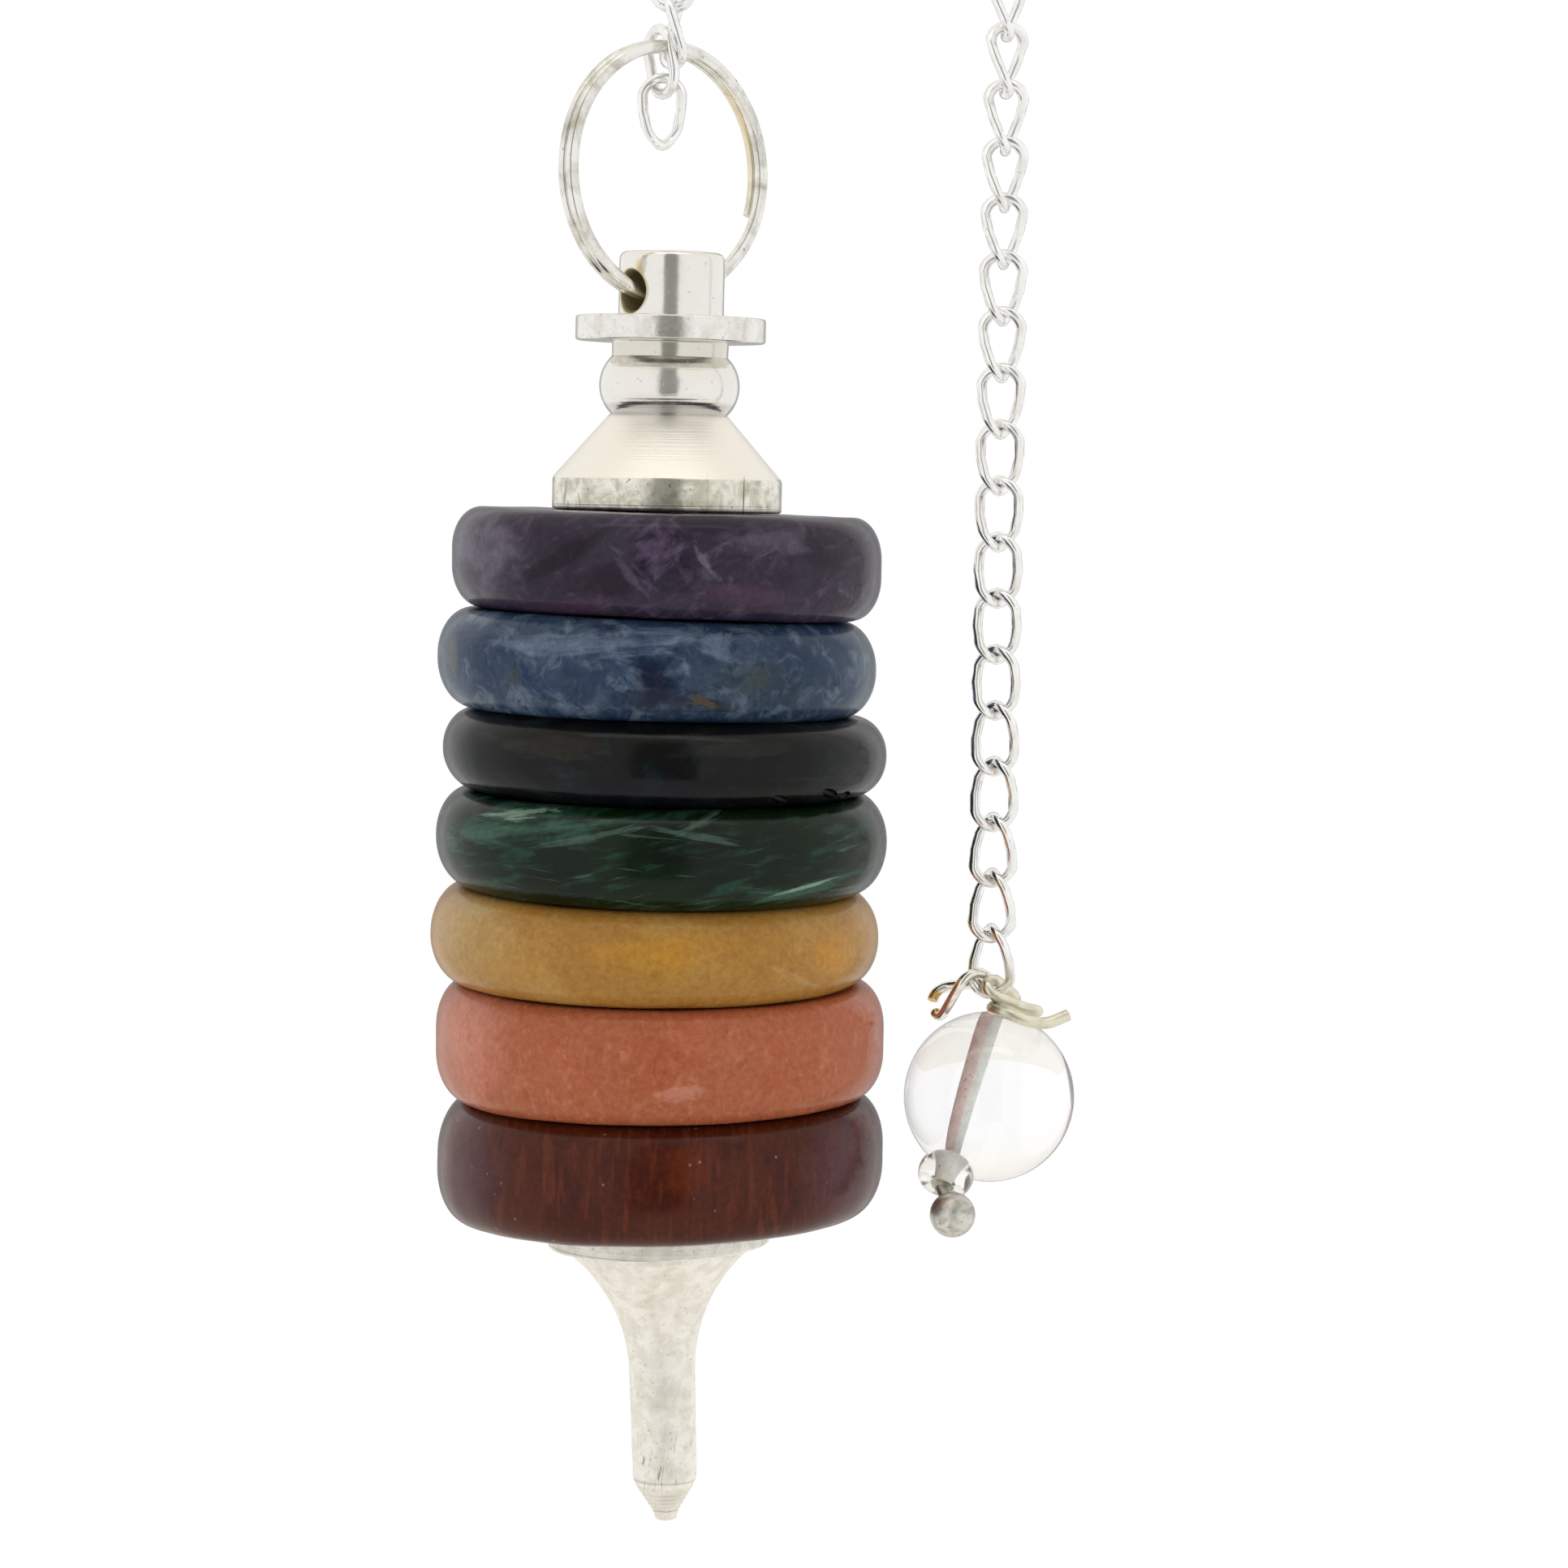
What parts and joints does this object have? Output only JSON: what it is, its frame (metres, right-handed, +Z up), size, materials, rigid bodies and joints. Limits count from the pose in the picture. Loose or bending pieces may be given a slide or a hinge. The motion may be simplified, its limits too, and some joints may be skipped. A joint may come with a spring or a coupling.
{
  "type": "pendulum pendant",
  "caption": "Pendulum pendant: a stack of polished stone discs between a turned cap and a turned point, on a twisted chain that ends in a drilled clear ball.",
  "frame": {"origin": "top of the chain's arch, where it hangs over a finger or a peg", "axes": "+Z up, -Y the front as in the picture, +X to the right, towards the ball's strand"},
  "size_m": [0.0301, 0.021, 0.1296],
  "materials": {
    "chain_plating": "bright silver plating",
    "pin_wire": "dull greyish wire",
    "clear_quartz": "polished and clear",
    "clear_glass": "polished and clear",
    "ring_wire": "silver plating, worn yellowish inside",
    "cap_plating": "turned silver plating with fine lathe lines",
    "amethyst": "polished, with pale veins",
    "pale_sodalite": "polished and mottled",
    "dark_sodalite": "polished, nearly black",
    "green_aventurine": "polished, with pale streaks",
    "yellow_aventurine": "polished and cloudy",
    "peach_aventurine": "polished, with pale flecks",
    "red_jasper": "polished, with dark grain",
    "rod_steel": "plain, hidden",
    "point_plating": "turned silver plating, slightly matt"
  },
  "bodies": {
    "chain_and_ball": {"chain": "chain_plating", "open_link": "chain_plating", "head_pin": "pin_wire", "quartz_ball": "clear_quartz", "seed_bead": "clear_glass"},
    "ring": {"split_ring": "ring_wire"},
    "pendulum": {"top_cap": "cap_plating", "amethyst_disc": "amethyst", "pale_sodalite_disc": "pale_sodalite", "dark_sodalite_disc": "dark_sodalite", "green_aventurine_disc": "green_aventurine", "yellow_aventurine_disc": "yellow_aventurine", "peach_aventurine_disc": "peach_aventurine", "red_jasper_disc": "red_jasper", "centre_rod": "rod_steel", "point": "point_plating"}
  },
  "joints": [
    {"name": "ring_swing", "type": "hinge", "parent": "chain_and_ball", "child": "ring", "pos_m": [-0.00775, 0, -0.06014], "axis": [1, 0, 0], "range_deg": [-20, 20]},
    {"name": "pendulum_swing", "type": "hinge", "parent": "ring", "child": "pendulum", "pos_m": [-0.00775, 0, -0.07144], "axis": [0.7431, 0.6691, 0], "range_deg": [-2, 60]}
  ]
}
